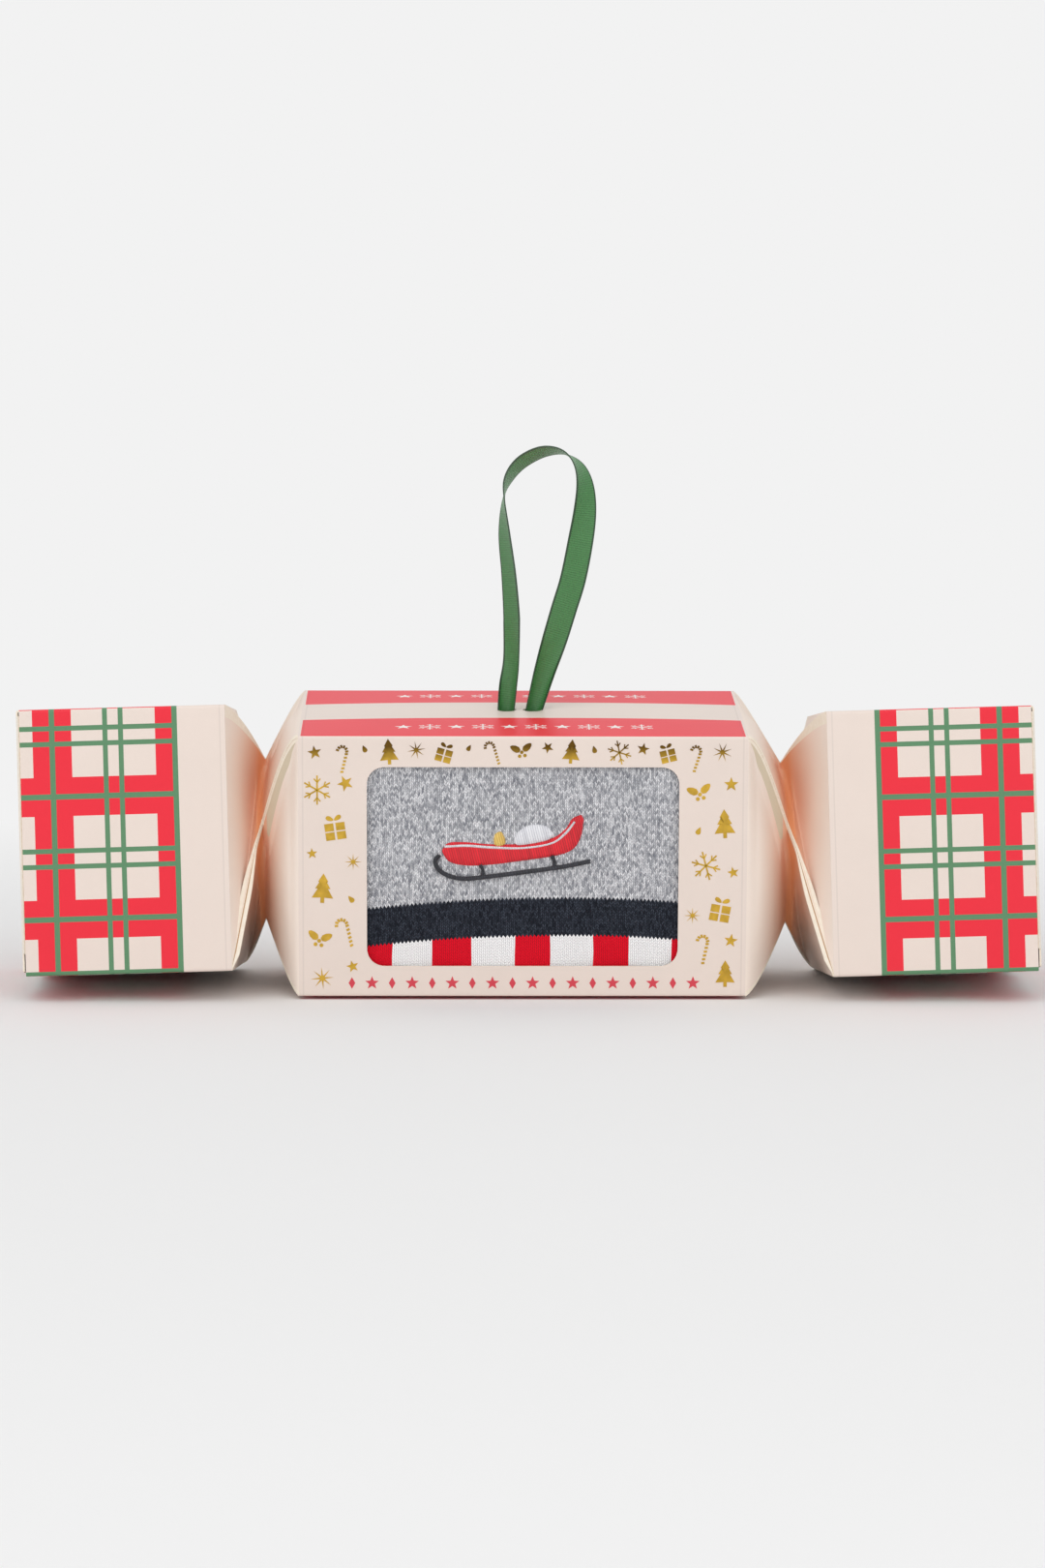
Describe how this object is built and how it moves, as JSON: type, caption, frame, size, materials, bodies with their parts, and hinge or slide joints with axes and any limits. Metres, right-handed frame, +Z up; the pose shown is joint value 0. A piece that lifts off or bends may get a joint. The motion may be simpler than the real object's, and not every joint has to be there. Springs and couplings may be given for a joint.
{
  "type": "christmas cracker gift carton",
  "caption": "Square folded carton shaped as a Christmas cracker, with a windowed centre box, twisted necks, hinged end lids and a ribbon hanging loop.",
  "frame": {"origin": "on the table, below the middle of the tube's length and depth", "axes": "+X along the tube to the right seen from the window, -Y out of the front with the window, +Z up"},
  "size_m": [0.2702, 0.0766, 0.1456],
  "materials": {
    "printed_board": "smooth matt coated carton board",
    "folded_board": "smooth matt coated carton board, creased",
    "plain_board": "uncoated carton board",
    "green_ribbon": "satin weave",
    "grey_knit": "fine melange knit"
  },
  "bodies": {
    "centre_box": {"centre_front_panel": "printed_board", "centre_back_panel": "printed_board", "centre_top_panel": "printed_board", "centre_bottom_panel": "printed_board", "centre_glue_flap": "plain_board", "left_neck_inner_half": "folded_board", "right_neck_inner_half": "folded_board", "front_sock": "grey_knit", "back_sock": "grey_knit", "ribbon_loop": "green_ribbon", "ribbon_knot": "green_ribbon"},
    "left_end": {"left_front_panel": "printed_board", "left_back_panel": "printed_board", "left_top_panel": "printed_board", "left_bottom_panel": "printed_board", "left_glue_flap": "plain_board", "left_neck_outer_half": "folded_board"},
    "right_end": {"right_front_panel": "printed_board", "right_back_panel": "printed_board", "right_top_panel": "printed_board", "right_bottom_panel": "printed_board", "right_glue_flap": "plain_board", "right_neck_outer_half": "folded_board"},
    "left_lid": {"left_lid": "printed_board", "left_lid_tuck": "printed_board"},
    "right_lid": {"right_lid": "printed_board", "right_lid_tuck": "printed_board"},
    "left_front_flap": {"left_front_dust_flap": "plain_board"},
    "left_back_flap": {"left_back_dust_flap": "plain_board"},
    "right_front_flap": {"right_front_dust_flap": "plain_board"},
    "right_back_flap": {"right_back_dust_flap": "plain_board"}
  },
  "joints": [
    {"name": "left_twist", "type": "hinge", "parent": "centre_box", "child": "left_end", "pos_m": [-0.07, 0, 0.03909], "axis": [1, 0, 0], "range_deg": [-15, 11], "stiffness_Nm_per_rad": 0.5},
    {"name": "right_twist", "type": "hinge", "parent": "centre_box", "child": "right_end", "pos_m": [0.068, 0, 0.03909], "axis": [1, 0, 0], "range_deg": [-15, 11], "stiffness_Nm_per_rad": 0.5},
    {"name": "left_lid_hinge", "type": "hinge", "parent": "left_end", "child": "left_lid", "pos_m": [-0.13432, 0.00348, 0.07309], "axis": [0.0029, 0.9951, -0.0993], "range_deg": [0, 120]},
    {"name": "right_lid_hinge", "type": "hinge", "parent": "right_end", "child": "right_lid", "pos_m": [0.13226, 0.00348, 0.0747], "axis": [-0.0029, -0.9951, 0.0993], "range_deg": [0, 120]},
    {"name": "left_front_flap_hinge", "type": "hinge", "parent": "left_end", "child": "left_front_flap", "pos_m": [-0.13324, -0.03483, 0.04176], "axis": [-0.0295, 0.0993, 0.9946], "range_deg": [0, 61]},
    {"name": "left_back_flap_hinge", "type": "hinge", "parent": "left_end", "child": "left_back_flap", "pos_m": [-0.13303, 0.03483, 0.03481], "axis": [0.0295, -0.0993, -0.9946], "range_deg": [0, 61]},
    {"name": "right_front_flap_hinge", "type": "hinge", "parent": "right_end", "child": "right_front_flap", "pos_m": [0.13303, -0.03483, 0.04336], "axis": [0.0295, -0.0993, -0.9946], "range_deg": [0, 61]},
    {"name": "right_back_flap_hinge", "type": "hinge", "parent": "right_end", "child": "right_back_flap", "pos_m": [0.13324, 0.03483, 0.03641], "axis": [-0.0295, 0.0993, 0.9946], "range_deg": [0, 61]}
  ],
  "couplings": [
    {"joint": "left_front_flap_hinge", "follows": "left_lid_hinge", "ratio": 0.5},
    {"joint": "left_back_flap_hinge", "follows": "left_lid_hinge", "ratio": 0.5},
    {"joint": "right_front_flap_hinge", "follows": "right_lid_hinge", "ratio": 0.5},
    {"joint": "right_back_flap_hinge", "follows": "right_lid_hinge", "ratio": 0.5}
  ]
}
